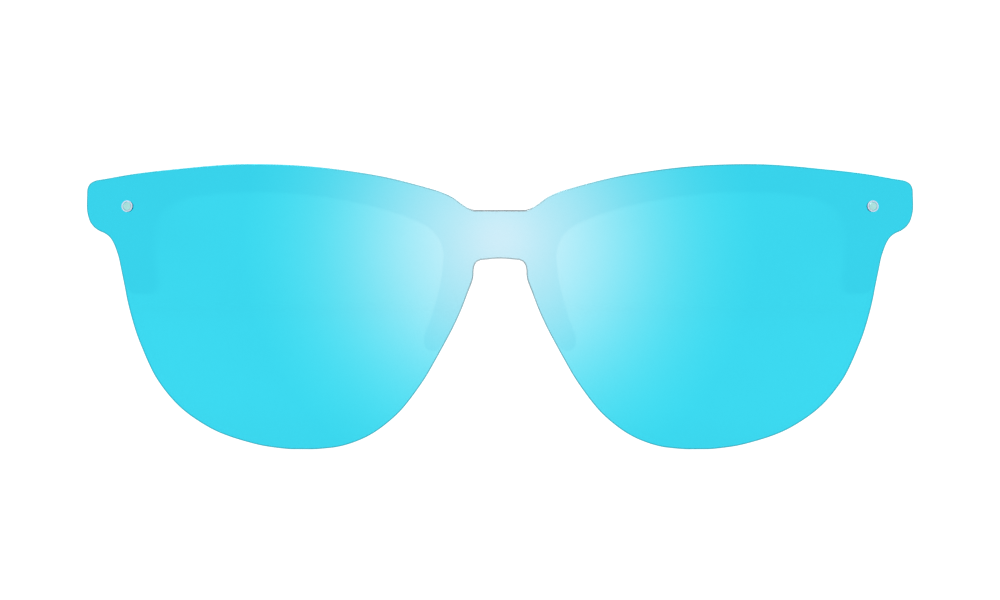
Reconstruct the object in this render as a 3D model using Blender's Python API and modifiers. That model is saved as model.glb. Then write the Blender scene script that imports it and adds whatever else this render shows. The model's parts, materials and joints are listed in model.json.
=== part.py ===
"""Rimless sunglasses with one spherical shield lens over a half-frame, and two folding temples.

The lens faces -Y, the temples run back along +Y, and the glasses stand on the lens's two lower edges and the
two temple tips, on z = 0. Left is the wearer's left, which is +X. Everything is modelled with Y counted from
the lens's foremost point, and a parent empty moves it so that the origin lies mid-depth. The left piece of a
pair is modelled, and mirrored to the right.
"""

import math

import bmesh
import bpy
from mathutils import Matrix, Vector

MM = 0.001
FIT_GAP = 0.2 * MM  # between pieces that are screwed or pressed together
SIDES = 24  # facets round a small cylinder
FRONT_Y = -75.5 * MM  # world Y of the lens's foremost point

# The lens is cut from a spherical blank, and the frame from a second blank that nests behind it.
LENS_RADIUS = 265.0 * MM
LENS_MID_Z = 25.0 * MM
LENS_THICKNESS = 2.0 * MM
FRAME_THICKNESS = 3.2 * MM
FRAME_FRONT = LENS_THICKNESS + FIT_GAP  # depths are measured inwards from the lens's front surface
FRAME_BACK = FRAME_FRONT + FRAME_THICKNESS
BLANK_HALF_SIZE = (77.0 * MM, 29.0 * MM)
BLANK_CELLS = (15, 6)
BLANK_DEPTH = 40.0 * MM
OUTLINE_STEPS = 3  # straight stretches between two points of an outline

# Outlines in millimetres of X and Z, for the half at +X. A stretch between two points of equal Z is straight.
BRIDGE_TOP = [(0.0, 41.2), (4.4, 41.2)]
FRAME_BRIDGE_TOP = [(0.0, 41.35), (4.35, 41.35)]
TOP_AND_END = [
    (6.2, 42.1), (8.5, 43.7), (13.8, 45.5), (24.2, 47.8), (41.6, 49.33), (55.6, 48.6), (68.8, 46.9),
    (71.2, 46.3), (71.85, 45.5), (72.0, 44.2), (71.6, 39.8), (70.5, 38.3), (68.1, 36.9), (66.9, 34.9),
    (65.6, 29.8),
]
LENS_LOWER_EDGE = [
    (64.4, 24.2), (62.1, 17.3), (58.3, 10.3), (52.1, 4.7), (44.0, 1.3), (36.0, 0.0), (32.4, 0.0),
    (25.6, 1.1), (19.3, 4.7), (14.3, 10.3), (10.1, 17.3), (7.2, 22.9),
]
FRAME_WINDOW = [
    (65.0, 27.9), (63.9, 26.9), (61.1, 26.9), (60.2, 28.0), (60.5, 32.5), (60.5, 37.6), (59.3, 41.0),
    (56.0, 43.3), (51.0, 44.25), (42.9, 44.6), (34.5, 44.25), (27.4, 43.2), (20.2, 41.55), (15.4, 39.9),
    (11.7, 37.8), (10.0, 35.0), (9.95, 31.0), (10.7, 27.0), (12.05, 22.3), (13.15, 18.8), (12.7, 17.4),
    (11.4, 17.0), (10.4, 17.6), (7.4, 22.9),
]
NOSE_EDGE = [(5.35, 27.6), (4.65, 29.6), (4.45, 31.6), (3.9, 32.45), (2.2, 32.8), (0.0, 32.95)]

# The pin clamps lens, frame and hinge together, square to the lens's surface.
PIN_X = 64.8 * MM
PIN_Z = 42.1 * MM
PIN_HEAD_RADIUS = 0.75 * MM
PIN_HEAD_HEIGHT = 0.25 * MM
PIN_RADIUS = 0.42 * MM
PIN_END = 7.5 * MM
SLEEVE_FLANGE_RADIUS = 1.0 * MM
SLEEVE_FLANGE_HEIGHT = 0.15 * MM
SLEEVE_BORE_RADIUS = 0.5 * MM
SLEEVE_RADIUS = 0.7 * MM
LENS_HOLE_RADIUS = 0.8 * MM
FRAME_HOLE_RADIUS = 0.55 * MM
NUT_RADIUS = 1.15 * MM
NUT_HEIGHT = 0.9 * MM
SURFACE_GAP = 0.08 * MM  # between the pin's head, the flange and the lens

# The hinge has an upright axis behind the frame's end. The front leaf has two knuckles, the temple's has one.
HINGE = Vector((65.2, 18.2, 42.1)) * MM
KNUCKLE_RADIUS = 1.6 * MM
KNUCKLE_BORE_RADIUS = 0.7 * MM
HINGE_SCREW_RADIUS = 0.62 * MM
HINGE_SCREW_HEAD_RADIUS = 1.2 * MM
HINGE_SCREW_HEAD_HEIGHT = 0.7 * MM
MIDDLE_KNUCKLE_HALF = 1.25 * MM
OUTER_KNUCKLE_Z = (1.4 * MM, 3.1 * MM)
SLOT_WIDTH = 0.35 * MM
LEAF_THICKNESS = 0.8 * MM
LEAF_SEAT = 5.0 * MM  # depth of the flat seat that is cut for the front leaf
LEAF_X = (-3.6 * MM, 3.0 * MM)  # along the lens, from the pin
LEAF_HALF_HEIGHT = 3.1 * MM
LEAF_BEVEL = 0.25 * MM
WEB_X = (1.7 * MM, 3.2 * MM)
FOOT_SCREW_X = -2.4 * MM
FOOT_SCREW_RADIUS = 0.4 * MM
FOOT_SCREW_HEAD_RADIUS = 0.8 * MM
FOOT_SCREW_HEAD_HEIGHT = 0.5 * MM
FOOT_SCREW_DEPTH = 3.2 * MM
BLOCK_LOW = Vector((66.95, 13.6, 30.0)) * MM  # the frame's ends are thickened to these planes
BLOCK_HIGH = Vector((80.0, 16.6, 50.0)) * MM

# The temple's arm runs level out of the hinge, slopes down, and turns down behind the ear.
# Lengths along it start at its front end.
ARM_START = Vector((69.4, 16.9, 42.1)) * MM
ARM_SLOPE = math.radians(4.0)
ARM_SLOPE_OVER = (6.0 * MM, 18.0 * MM)
EAR_ANGLE = math.radians(45.0)
EAR_BEND_OVER = (86.0 * MM, 108.0 * MM)
INWARD_FROM = 28.0 * MM
TEMPLE_LENGTH = 147.0 * MM
INWARD_AT_TIP = 12.5 * MM
ARM_END = 93.0 * MM
TANG_END = 128.0 * MM
ARM_HALF_START = (2.35 * MM, 3.2 * MM)
ARM_HALF_END = (1.7 * MM, 2.35 * MM)
TANG_HALF = (1.2 * MM, 1.6 * MM)
SOCKET_HALF = (1.45 * MM, 1.85 * MM)
TIP_HALF_START = (2.15 * MM, 2.7 * MM)
TIP_HALF_END = (2.1 * MM, 3.3 * MM)
TIP_CROWN = 3.0 * MM  # length of the rounded end
TIP_CROWN_STEPS = 4
STEP_ALONG = 5.5 * MM
PATH_STEP = 0.25 * MM
CORNER_SHARE = 0.55  # of a section's half-width
CORNER_STEPS = 2

# The temple's leaf lies in a pocket on the arm's inner side, under two rivets.
POCKET_DEPTH = 0.5 * MM
TEMPLE_LEAF_Y = (20.4 * MM, 31.0 * MM)
TEMPLE_LEAF_HALF_HEIGHT = 1.6 * MM
RIVET_Y = {"front": 23.4 * MM, "rear": 28.4 * MM}
RIVET_RADIUS = 0.45 * MM
RIVET_HOLE_RADIUS = 0.6 * MM
RIVET_HEAD_RADIUS = 0.85 * MM
RIVET_HEAD_HEIGHT = 0.4 * MM
RIVET_LENGTH = 2.4 * MM
WIRE_RADIUS = 0.5 * MM
WIRE_CHANNEL_RADIUS = 0.75 * MM
WIRE_START = 20.0 * MM

# Nose pads are soft ridges behind the nose legs, each held by two pegs.
PAD_SPINE = [(11.75, 18.6), (10.3, 21.6), (8.85, 25.2), (7.9, 28.6), (7.35, 31.6)]  # X and Z, in millimetres
PAD_HALF_WIDTH = [0.75 * MM, 1.15 * MM, 1.25 * MM, 1.2 * MM, 0.75 * MM]
PAD_HEIGHT = [2.0 * MM, 4.1 * MM, 4.9 * MM, 4.2 * MM, 2.0 * MM]
PAD_ARC_STEPS = 6
PEG_POINTS = (1, 3)  # places along the spine
PEG_RADIUS = 0.5 * MM
PEG_HOLE_RADIUS = 0.65 * MM
PEG_LENGTH = 1.8 * MM

MATERIALS = {
    "shield_lens": ((0.045, 0.68, 0.86, 1.0), 0.06, 0.85),
    "front_frame": ((0.02, 0.02, 0.022, 1.0), 0.35, 0.0),
    "nose_pad": ((0.74, 0.77, 0.79, 1.0), 0.4, 0.0),
    "pin_sleeve": ((0.75, 0.78, 0.8, 1.0), 0.4, 0.0),
    "lens_pin": ((0.7, 0.72, 0.74, 1.0), 0.25, 1.0),
    "pin_nut": ((0.6, 0.6, 0.61, 1.0), 0.3, 1.0),
    "front_hinge": ((0.5, 0.5, 0.52, 1.0), 0.35, 1.0),
    "temple_hinge": ((0.5, 0.5, 0.52, 1.0), 0.35, 1.0),
    "hinge_screw": ((0.6, 0.6, 0.61, 1.0), 0.3, 1.0),
    "hinge_foot_screw": ((0.6, 0.6, 0.61, 1.0), 0.3, 1.0),
    "temple_rivet_front": ((0.6, 0.6, 0.61, 1.0), 0.3, 1.0),
    "temple_rivet_rear": ((0.6, 0.6, 0.61, 1.0), 0.3, 1.0),
    "temple_arm": ((0.02, 0.02, 0.022, 1.0), 0.35, 0.0),
    "core_wire": ((0.55, 0.55, 0.56, 1.0), 0.4, 1.0),
    "temple_tip": ((0.03, 0.03, 0.033, 1.0), 0.65, 0.0),
}
TEMPLE_PIECES = ("temple_hinge", "temple_rivet", "temple_arm", "core_wire", "temple_tip")


def add(name, mesh):
    obj = bpy.data.objects.new(name, mesh)
    bpy.context.scene.collection.objects.link(obj)
    return obj


def from_bmesh(name, bm):
    bmesh.ops.recalc_face_normals(bm, faces=bm.faces)
    mesh = bpy.data.meshes.new(name)
    bm.to_mesh(mesh)
    bm.free()
    return add(name, mesh)


def evaluated_mesh(obj):
    bpy.context.view_layer.update()
    graph = bpy.context.evaluated_depsgraph_get()
    return bpy.data.meshes.new_from_object(obj.evaluated_get(graph))


def bake(obj):
    """Replaces the object's mesh with its shape after all its modifiers."""
    mesh = evaluated_mesh(obj)
    obj.modifiers.clear()
    obj.data = mesh
    return obj


def mesh_from_curve(name, curve, matrix=Matrix.Identity(4)):
    """A closed mesh object from a curve whose caps are loose."""
    guide = add(name, curve)
    mesh = evaluated_mesh(guide)
    bpy.data.objects.remove(guide)
    mesh.transform(matrix)
    bm = bmesh.new()
    bm.from_mesh(mesh)
    bmesh.ops.remove_doubles(bm, verts=bm.verts, dist=0.001 * MM)
    return from_bmesh(name, bm)


def combine(target, tools, operation):
    """Joins, cuts or intersects the target with each tool, and removes the tools."""
    for tool in tools:
        modifier = target.modifiers.new("combine", "BOOLEAN")
        modifier.operation = operation
        modifier.solver = "EXACT"
        modifier.object = tool
        bake(target)
        bpy.data.objects.remove(tool)
    return target


def join(target, *tools):
    return combine(target, tools, "UNION")


def cut(target, *tools):
    return combine(target, tools, "DIFFERENCE")


def mirrored(obj, name):
    """A copy on the other side of the plane x = 0."""
    mesh = obj.data.copy()
    mesh.transform(Matrix.Scale(-1, 4, Vector((1, 0, 0))))
    mesh.flip_normals()
    return add(name, mesh)


def on_both_sides(tools):
    return [copy for tool in tools for copy in (tool, mirrored(tool, tool.name))]


def box(name, low, high, frame=Matrix.Identity(4), bevel=0.0):
    """A box between two corners given in the frame, its edges rounded if asked."""
    low, high = Vector(low), Vector(high)
    place = Matrix.Translation((low + high) / 2) @ Matrix.Diagonal((*(high - low), 1))
    bm = bmesh.new()
    bmesh.ops.create_cube(bm, size=1, matrix=frame @ place)
    if bevel:
        bmesh.ops.bevel(
            bm, geom=bm.edges, offset=bevel, segments=2, profile=0.5, affect="EDGES", clamp_overlap=True,
        )
    return from_bmesh(name, bm)


def rod(name, radius, start, end, frame=Matrix.Identity(4), sides=SIDES, end_radius=None):
    """A cylinder or a cone between two points given in the frame."""
    start, end = Vector(start), Vector(end)
    turn = (end - start).to_track_quat("Z", "Y").to_matrix().to_4x4()
    bm = bmesh.new()
    bmesh.ops.create_cone(
        bm, cap_ends=True, segments=sides, radius1=radius,
        radius2=radius if end_radius is None else end_radius, depth=(end - start).length,
        matrix=frame @ Matrix.Translation((start + end) / 2) @ turn,
    )
    return from_bmesh(name, bm)


def loft(name, rings):
    """A closed body through rings of equally many points, capped at both ends."""
    bm = bmesh.new()
    loops = [[bm.verts.new(point) for point in ring] for ring in rings]
    for near, far in zip(loops, loops[1:]):
        for i in range(len(near)):
            j = (i + 1) % len(near)
            bm.faces.new((near[i], near[j], far[j], far[i]))
    bm.faces.new(loops[0])
    bm.faces.new(loops[-1])
    return from_bmesh(name, bm)


def surface_y(x, z, depth=0.0):
    """Y of the sphere that lies depth behind the lens's front surface."""
    radius = LENS_RADIUS - depth
    return LENS_RADIUS - math.sqrt(radius**2 - x**2 - (z - LENS_MID_Z) ** 2)


def spherical_blank(name, depth, thickness):
    """A curved plate, concentric with the lens's front surface and larger than the glasses' front."""
    bm = bmesh.new()
    cells_x, cells_z = BLANK_CELLS
    bmesh.ops.create_grid(bm, x_segments=cells_x, y_segments=cells_z, size=1)
    for vert in bm.verts:
        x = vert.co.x * BLANK_HALF_SIZE[0]
        z = LENS_MID_Z + vert.co.y * BLANK_HALF_SIZE[1]
        vert.co = (x, surface_y(x, z, depth), z)
    obj = from_bmesh(name, bm)
    if obj.data.polygons[0].normal.y > 0:
        obj.data.flip_normals()
    solidify = obj.modifiers.new("thickness", "SOLIDIFY")
    solidify.thickness = thickness
    solidify.offset = -1
    solidify.use_even_offset = True
    return bake(obj)


def outline_prism(name, half_outline):
    """The half outline and its mirror image as one closed Bezier outline, extruded along Y."""
    left = [(-x, z) for x, z in half_outline[-2:0:-1]]
    points = half_outline + left
    curve = bpy.data.curves.new(name, "CURVE")
    curve.dimensions = "2D"
    curve.fill_mode = "BOTH"
    curve.extrude = BLANK_DEPTH
    curve.resolution_u = OUTLINE_STEPS
    spline = curve.splines.new("BEZIER")
    spline.use_cyclic_u = True
    spline.bezier_points.add(len(points) - 1)
    for i, (x, z) in enumerate(points):
        point = spline.bezier_points[i]
        point.co = (x * MM, z * MM, 0)
        level_before = points[i - 1][1] == z
        level_after = points[(i + 1) % len(points)][1] == z
        point.handle_left_type = "VECTOR" if level_before else "AUTO"
        point.handle_right_type = "VECTOR" if level_after else "AUTO"
    return mesh_from_curve(name, curve, Matrix.Rotation(math.radians(90), 4, "X"))


def pin_frame(tilted):
    """A frame at the pin: X outwards along the lens, Y inwards through it, Z up.

    Tilted, Y is square to the lens's surface. Otherwise Z is upright, as the hinge is.
    """
    origin = Vector((PIN_X, surface_y(PIN_X, PIN_Z), PIN_Z))
    inwards = Vector((0, LENS_RADIUS, LENS_MID_Z)) - origin
    if not tilted:
        inwards.z = 0
    inwards.normalize()
    outwards = inwards.cross(Vector((0, 0, 1))).normalized()
    upwards = outwards.cross(inwards)
    frame = Matrix((outwards, inwards, upwards)).transposed().to_4x4()
    return Matrix.Translation(origin) @ frame


SQUARE = pin_frame(tilted=True)
UPRIGHT = pin_frame(tilted=False)


def pin_rod(name, radius, start, end, frame=SQUARE, x=0.0, **options):
    """A rod along the depth of a pin frame."""
    return rod(name, radius, (x, start, 0), (x, end, 0), frame, **options)


def ramp(value, start, end):
    """0 before start, 1 after end, and straight between them."""
    return min(max((value - start) / (end - start), 0.0), 1.0)


def temple_path():
    """Points along the temple's centre line, PATH_STEP apart, with the slope at each."""
    points = []
    y, z = ARM_START.y, ARM_START.z
    for i in range(round(TEMPLE_LENGTH / PATH_STEP) + 1):
        s = i * PATH_STEP
        slope = ARM_SLOPE * ramp(s, *ARM_SLOPE_OVER)
        slope += (EAR_ANGLE - ARM_SLOPE) * ramp(s, *EAR_BEND_OVER)
        x = ARM_START.x - INWARD_AT_TIP * ramp(s, INWARD_FROM, TEMPLE_LENGTH) ** 2
        points.append((Vector((x, y, z)), slope))
        y += PATH_STEP * math.cos(slope)
        z -= PATH_STEP * math.sin(slope)
    return points


TEMPLE_PATH = temple_path()


def on_path(s):
    return TEMPLE_PATH[min(round(s / PATH_STEP), len(TEMPLE_PATH) - 1)]


def lengths(start, end):
    """Lengths from start to end, about STEP_ALONG apart."""
    count = max(1, round((end - start) / STEP_ALONG))
    return [start + (end - start) * i / count for i in range(count + 1)]


def section(s, half_size):
    """A ring round the temple's centre line: a rectangle with rounded corners."""
    centre, slope = on_path(s)
    up = Vector((0, math.sin(slope), math.cos(slope)))
    across = Vector((1, 0, 0))
    half_width, half_height = half_size
    corner = CORNER_SHARE * half_width
    ring = []
    for quarter, (side_x, side_z) in enumerate([(1, 1), (-1, 1), (-1, -1), (1, -1)]):
        for step in range(CORNER_STEPS + 1):
            angle = math.radians(90) * (quarter + step / CORNER_STEPS)
            x = side_x * (half_width - corner) + corner * math.cos(angle)
            z = side_z * (half_height - corner) + corner * math.sin(angle)
            ring.append(centre + across * x + up * z)
    return ring


def tapered(name, start, end, half_start, half_end, crown=0.0):
    """A lofted length of temple whose section changes evenly, with a rounded end of the crown's length."""
    body_end = end - crown
    sections = []
    for s in lengths(start, body_end):
        share = (s - start) / (body_end - start)
        sections.append((s, [a + (b - a) * share for a, b in zip(half_start, half_end)]))
    if crown:
        for step in range(1, TIP_CROWN_STEPS):
            angle = math.radians(90) * step / TIP_CROWN_STEPS
            half = [size * math.cos(angle) for size in half_end]
            sections.append((body_end + crown * math.sin(angle), half))
    return loft(name, [section(s, half) for s, half in sections])


def path_tube(name, radius, start, end):
    """A round tube along the temple's centre line."""
    curve = bpy.data.curves.new(name, "CURVE")
    curve.dimensions = "3D"
    curve.bevel_depth = radius
    curve.bevel_resolution = 2
    curve.use_fill_caps = True
    stations = lengths(start, end)
    spline = curve.splines.new("POLY")
    spline.points.add(len(stations) - 1)
    for point, s in zip(spline.points, stations):
        point.co = (*on_path(s)[0], 1)
    return mesh_from_curve(name, curve)


def knuckle(name, low, high):
    up = Vector((0, 0, 1))
    return rod(name, KNUCKLE_RADIUS, HINGE + up * low, HINGE + up * high)


def hinge_bore():
    reach = Vector((0, 0, 6 * MM))
    return rod("bore", KNUCKLE_BORE_RADIUS, HINGE - reach, HINGE + reach)


def slotted_screw(name, head_radius, head_height, radius, length, frame):
    """A screw along the frame's Y: its head stands at negative Y, and its slot runs along X."""
    head = rod(name, head_radius, (0, -head_height, 0), (0, 0, 0), frame)
    shank = rod("shank", radius, (0, -head_height / 2, 0), (0, length, 0), frame)
    half_slot = SLOT_WIDTH / 2
    slot = box(
        "slot", (-2 * head_radius, -2 * head_height, -half_slot),
        (2 * head_radius, -head_height / 2, half_slot), frame,
    )
    return cut(join(head, shank), slot)


def make_lens():
    outline = BRIDGE_TOP + TOP_AND_END + LENS_LOWER_EDGE + NOSE_EDGE
    lens = spherical_blank("shield_lens", 0.0, LENS_THICKNESS)
    combine(lens, [outline_prism("outline", outline)], "INTERSECT")
    hole = pin_rod("hole", LENS_HOLE_RADIUS, -3 * MM, 5 * MM)
    return cut(lens, *on_both_sides([hole]))


def make_frame():
    outline = FRAME_BRIDGE_TOP + TOP_AND_END + FRAME_WINDOW + NOSE_EDGE
    frame = spherical_blank("front_frame", FRAME_FRONT, FRAME_THICKNESS)
    join(frame, *on_both_sides([box("end", BLOCK_LOW, BLOCK_HIGH)]))
    combine(frame, [outline_prism("outline", outline)], "INTERSECT")
    far = BLANK_DEPTH
    seat = box(
        "seat", (LEAF_X[0] - FIT_GAP, LEAF_SEAT, -LEAF_HALF_HEIGHT - FIT_GAP),
        (LEAF_X[1] + FIT_GAP, far, LEAF_HALF_HEIGHT + FIT_GAP), UPRIGHT,
    )
    pin_hole = pin_rod("pin_hole", FRAME_HOLE_RADIUS, 0, far)
    foot_hole = pin_rod(
        "foot_hole", FOOT_SCREW_RADIUS + FIT_GAP / 2, FOOT_SCREW_DEPTH - FIT_GAP, far, UPRIGHT, FOOT_SCREW_X,
    )
    cutters = [seat, pin_hole, foot_hole]
    for i in PEG_POINTS:
        start, end = peg_ends(i)
        cutters.append(rod("peg_hole", PEG_HOLE_RADIUS, start + (end - start) * 1.15, start - (end - start)))
    return cut(frame, *on_both_sides(cutters))


def pad_point(i, depth):
    x, z = (value * MM for value in PAD_SPINE[i])
    return Vector((x, surface_y(x, z, depth), z))


def peg_ends(i):
    """The peg's root inside the pad, and its end inside the frame."""
    root = pad_point(i, FRAME_BACK + FIT_GAP)
    end = pad_point(i, FRAME_BACK + FIT_GAP - PEG_LENGTH)
    return root, Vector((root.x, end.y, root.z))


def make_nose_pad(name):
    """A ridge whose sections are half ovals that stand on the nose leg's back."""
    rings = []
    for i, (half_width, height) in enumerate(zip(PAD_HALF_WIDTH, PAD_HEIGHT)):
        base = pad_point(i, FRAME_BACK + FIT_GAP)
        ring = []
        for step in range(PAD_ARC_STEPS + 1):
            angle = math.pi * step / PAD_ARC_STEPS
            across = half_width * math.cos(angle)
            ring.append(base + Vector((across, height * math.sin(angle), 0)))
        rings.append(ring)
    pad = loft(name, rings)
    for i in PEG_POINTS:
        start, end = peg_ends(i)
        join(pad, rod("peg", PEG_RADIUS, end, start + (start - end)))
    return pad


def make_pin(name):
    pin = pin_rod(
        name, PIN_HEAD_RADIUS * 0.8, -SLEEVE_FLANGE_HEIGHT - SURFACE_GAP - PIN_HEAD_HEIGHT,
        -SLEEVE_FLANGE_HEIGHT - 2 * SURFACE_GAP, end_radius=PIN_HEAD_RADIUS,
    )
    return join(pin, pin_rod("shank", PIN_RADIUS, -SLEEVE_FLANGE_HEIGHT - 3 * SURFACE_GAP, PIN_END))


def make_sleeve(name):
    sleeve = pin_rod(name, SLEEVE_FLANGE_RADIUS, -SURFACE_GAP - SLEEVE_FLANGE_HEIGHT, -SURFACE_GAP)
    join(sleeve, pin_rod("tube", SLEEVE_RADIUS, -1.5 * SURFACE_GAP, LENS_THICKNESS))
    return cut(sleeve, pin_rod("bore", SLEEVE_BORE_RADIUS, -3 * MM, 5 * MM))


def leaf_back():
    return LEAF_SEAT + FIT_GAP + LEAF_THICKNESS


def make_nut(name):
    start = leaf_back() + FIT_GAP
    nut = pin_rod(name, NUT_RADIUS, start, start + NUT_HEIGHT, sides=6)
    return cut(nut, pin_rod("bore", PIN_RADIUS + FIT_GAP / 2, 0, BLANK_DEPTH))


def make_front_hinge(name):
    leaf = box(
        name, (LEAF_X[0], LEAF_SEAT + FIT_GAP, -LEAF_HALF_HEIGHT),
        (LEAF_X[1], leaf_back(), LEAF_HALF_HEIGHT), UPRIGHT, LEAF_BEVEL,
    )
    axis_depth = (UPRIGHT.inverted() @ HINGE).y
    low, high = OUTER_KNUCKLE_Z
    for bottom, top in [(low, high), (-high, -low)]:
        web_front = leaf_back() - LEAF_THICKNESS / 2
        web = box("web", (WEB_X[0], web_front, bottom), (WEB_X[1], axis_depth, top), UPRIGHT)
        join(leaf, web, knuckle("knuckle", bottom, top))
    holes = [
        hinge_bore(),
        pin_rod("pin_hole", FRAME_HOLE_RADIUS, 0, leaf_back() + MM),
        pin_rod("foot_hole", FOOT_SCREW_RADIUS + FIT_GAP / 2, 0, leaf_back() + MM, UPRIGHT, FOOT_SCREW_X),
    ]
    return cut(leaf, *holes)


def make_foot_screw(name):
    seat = UPRIGHT @ Matrix.Translation((FOOT_SCREW_X, leaf_back() + FIT_GAP / 2, 0))
    length = leaf_back() - FOOT_SCREW_DEPTH
    return slotted_screw(
        name, FOOT_SCREW_HEAD_RADIUS, FOOT_SCREW_HEAD_HEIGHT, FOOT_SCREW_RADIUS, length,
        seat @ Matrix.Rotation(math.pi, 4, "Z"),
    )


def make_hinge_screw(name):
    top = HINGE + Vector((0, 0, OUTER_KNUCKLE_Z[1] + FIT_GAP / 2))
    down = Matrix.Translation(top) @ Matrix.Rotation(math.radians(-90), 4, "X")
    length = 2 * OUTER_KNUCKLE_Z[1]
    return slotted_screw(
        name, HINGE_SCREW_HEAD_RADIUS, HINGE_SCREW_HEAD_HEIGHT, HINGE_SCREW_RADIUS, length, down,
    )


def arm_inner_x():
    return ARM_START.x - ARM_HALF_START[0]


def temple_leaf_x():
    """The leaf's outer and inner X, sunk into the pocket."""
    outer = arm_inner_x() + POCKET_DEPTH - FIT_GAP
    return outer, outer - LEAF_THICKNESS


def make_temple_hinge(name):
    outer, inner = temple_leaf_x()
    half = TEMPLE_LEAF_HALF_HEIGHT
    leaf = box(
        name, (inner, TEMPLE_LEAF_Y[0], HINGE.z - half), (outer, TEMPLE_LEAF_Y[1], HINGE.z + half),
        bevel=LEAF_BEVEL,
    )
    middle = MIDDLE_KNUCKLE_HALF
    web = box(
        "web", (HINGE.x, HINGE.y - middle / 2, HINGE.z - middle),
        (outer, TEMPLE_LEAF_Y[0] + LEAF_THICKNESS, HINGE.z + middle),
    )
    join(leaf, web, knuckle("knuckle", -middle, middle))
    cut(leaf, hinge_bore())
    for y in RIVET_Y.values():
        cut(leaf, rod("hole", RIVET_HOLE_RADIUS, (inner - MM, y, HINGE.z), (outer + MM, y, HINGE.z)))
    return leaf


def make_rivet(name, y):
    seat = Matrix.Translation((temple_leaf_x()[1] - FIT_GAP / 2, y, HINGE.z))
    top = -RIVET_HEAD_HEIGHT
    head = rod(name, RIVET_HEAD_RADIUS * 0.7, (top, 0, 0), (0, 0, 0), seat, end_radius=RIVET_HEAD_RADIUS)
    return join(head, rod("shank", RIVET_RADIUS, (top / 2, 0, 0), (RIVET_LENGTH, 0, 0), seat))


def make_arm(name):
    arm = tapered(name, 0.0, ARM_END, ARM_HALF_START, ARM_HALF_END)
    tang = tapered("tang", ARM_END - 2 * MM, TANG_END, TANG_HALF, TANG_HALF)
    join(arm, tang)
    inner = arm_inner_x()
    half = TEMPLE_LEAF_HALF_HEIGHT + FIT_GAP
    pocket = box(
        "pocket", (inner - MM, ARM_START.y - MM, HINGE.z - half),
        (inner + POCKET_DEPTH, TEMPLE_LEAF_Y[1] + FIT_GAP, HINGE.z + half),
    )
    channel = path_tube("channel", WIRE_CHANNEL_RADIUS, WIRE_START - FIT_GAP, TANG_END + 3 * MM)
    cut(arm, pocket, channel)
    reach = RIVET_LENGTH + LEAF_THICKNESS
    for y in RIVET_Y.values():
        cut(arm, rod("hole", RIVET_HOLE_RADIUS, (inner - MM, y, HINGE.z), (inner + reach, y, HINGE.z)))
    return arm


def make_tip(name):
    """A soft sleeve over the tang, rounded at its end and flat where it stands."""
    start = ARM_END + FIT_GAP
    tip = tapered(name, start, TEMPLE_LENGTH, TIP_HALF_START, TIP_HALF_END, TIP_CROWN)
    socket = tapered("socket", start - MM, TANG_END + 2 * FIT_GAP, SOCKET_HALF, SOCKET_HALF)
    ground = box("ground", (0, 0, -2 * BLANK_DEPTH), (3 * BLANK_DEPTH, 5 * BLANK_DEPTH, 0))
    return cut(tip, socket, ground)


def material_for(name):
    kind = max((key for key in MATERIALS if name.startswith(key)), key=len)
    colour, roughness, metallic = MATERIALS[kind]
    material = bpy.data.materials.new(name)
    material.use_nodes = True
    shader = material.node_tree.nodes["Principled BSDF"]
    shader.inputs["Base Color"].default_value = colour
    shader.inputs["Roughness"].default_value = roughness
    shader.inputs["Metallic"].default_value = metallic
    return material


def finish(obj, name, collection, parent):
    """Names and shades the object, and hangs it on its parent, whose place becomes its origin."""
    obj.name = name
    obj.data.name = name
    bpy.context.scene.collection.objects.unlink(obj)
    collection.objects.link(obj)
    obj.data.shade_smooth()
    obj.data.set_sharp_from_angle(angle=math.radians(30))
    obj.data.materials.clear()
    obj.data.materials.append(material_for(name))
    if parent.parent:
        obj.data.transform(Matrix.Translation(-parent.location))
    obj.parent = parent


def add_empty(name, location, collection, parent=None):
    obj = bpy.data.objects.new(name, None)
    collection.objects.link(obj)
    obj.location = location
    obj.parent = parent
    return obj


def main():
    for obj in list(bpy.data.objects):
        bpy.data.objects.remove(obj)
    collection = bpy.data.collections.new("sunglasses")
    bpy.context.scene.collection.children.link(collection)

    front = add_empty("front_origin", (0, FRONT_Y, 0), collection)
    axes = {
        "left": add_empty("hinge_axis_left", HINGE, collection, front),
        "right": add_empty("hinge_axis_right", (-HINGE.x, HINGE.y, HINGE.z), collection, front),
    }

    finish(make_lens(), "shield_lens", collection, front)
    finish(make_frame(), "front_frame", collection, front)
    paired = {
        "lens_pin": make_pin,
        "pin_sleeve": make_sleeve,
        "pin_nut": make_nut,
        "nose_pad": make_nose_pad,
        "front_hinge": make_front_hinge,
        "hinge_foot_screw": make_foot_screw,
        "hinge_screw": make_hinge_screw,
        "temple_hinge": make_temple_hinge,
        "temple_rivet_front": lambda name: make_rivet(name, RIVET_Y["front"]),
        "temple_rivet_rear": lambda name: make_rivet(name, RIVET_Y["rear"]),
        "temple_arm": make_arm,
        "core_wire": lambda name: path_tube(name, WIRE_RADIUS, WIRE_START, TANG_END),
        "temple_tip": make_tip,
    }
    for kind, make in paired.items():
        left = make(kind)
        right = mirrored(left, kind)
        for side, obj in (("left", left), ("right", right)):
            parent = axes[side] if kind.startswith(TEMPLE_PIECES) else front
            finish(obj, f"{kind}_{side}", collection, parent)


main()
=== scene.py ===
"""Looks for the rimless shield sunglasses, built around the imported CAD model.

The lens, the frame, the temples and the nose pads are rebuilt finely and stand for their CAD nodes. Pins,
sleeves, nuts, hinges, screws, rivets and core wires are the CAD nodes themselves, with rounded edges and
finishes of their own.
Shapes are made in millimetres of the row frame, and scaled to metres when they become objects.
"""

import json
import math

import bmesh
import bpy
from mathutils import Matrix, Vector
from mathutils.geometry import tessellate_polygon


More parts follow.
